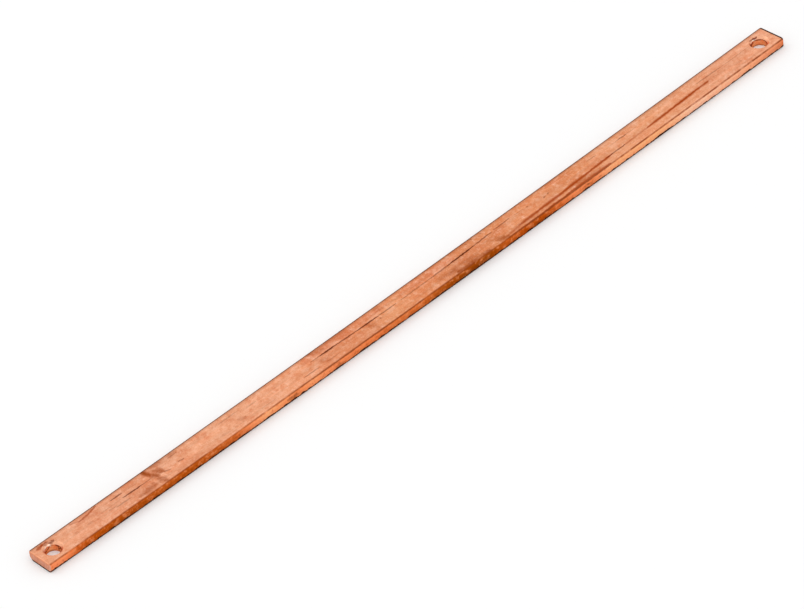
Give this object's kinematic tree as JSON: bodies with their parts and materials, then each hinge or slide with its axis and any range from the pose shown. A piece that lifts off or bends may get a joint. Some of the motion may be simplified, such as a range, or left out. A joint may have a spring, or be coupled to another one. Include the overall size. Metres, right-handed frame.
{
  "type": "rack grounding busbar",
  "caption": "Flat copper bar that spans a 19-inch rack, with a countersunk screw hole near each end, to bond equipment to earth.",
  "frame": {"origin": "midway between the two screw hole centres, on the back face", "axes": "+X along the bar to its right end, +Y across the flat face, +Z out of the countersunk front face"},
  "size_m": [0.4836, 0.0163, 0.005],
  "materials": {
    "copper": "bare drawn copper with fine lengthwise drawing lines, scratches and brown oxide stains"
  },
  "bodies": {
    "root": {"busbar": "copper"}
  },
  "joints": []
}
